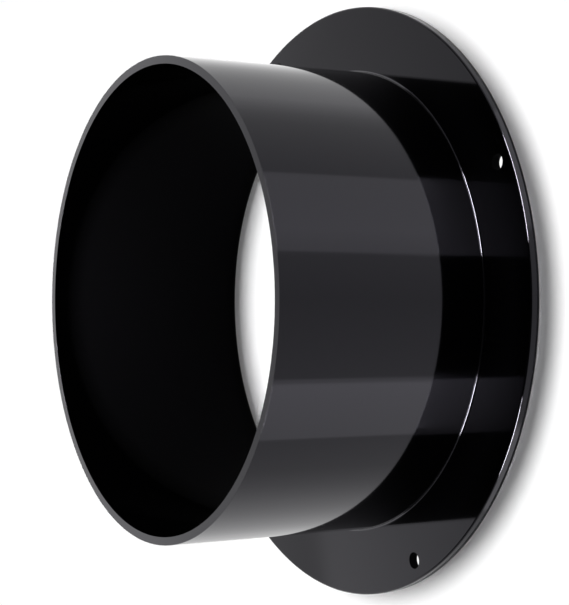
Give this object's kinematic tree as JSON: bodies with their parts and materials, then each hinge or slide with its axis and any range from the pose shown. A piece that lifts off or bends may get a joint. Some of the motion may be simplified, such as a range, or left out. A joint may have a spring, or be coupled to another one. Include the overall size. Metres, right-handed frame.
{
  "type": "duct wall flange",
  "caption": "Round duct wall flange: a straight sleeve standing on a flat round plate with screw holes near its rim, one gloss black plastic moulding.",
  "frame": {"origin": "middle of the bore in the plane of the wall face", "axes": "+Z along the bore from the wall to the mouth, +X and +Y each through a screw hole"},
  "size_m": [0.192, 0.192, 0.0735],
  "materials": {
    "black_plastic": "gloss"
  },
  "bodies": {
    "root": {"wall_flange": "black_plastic"}
  },
  "joints": []
}
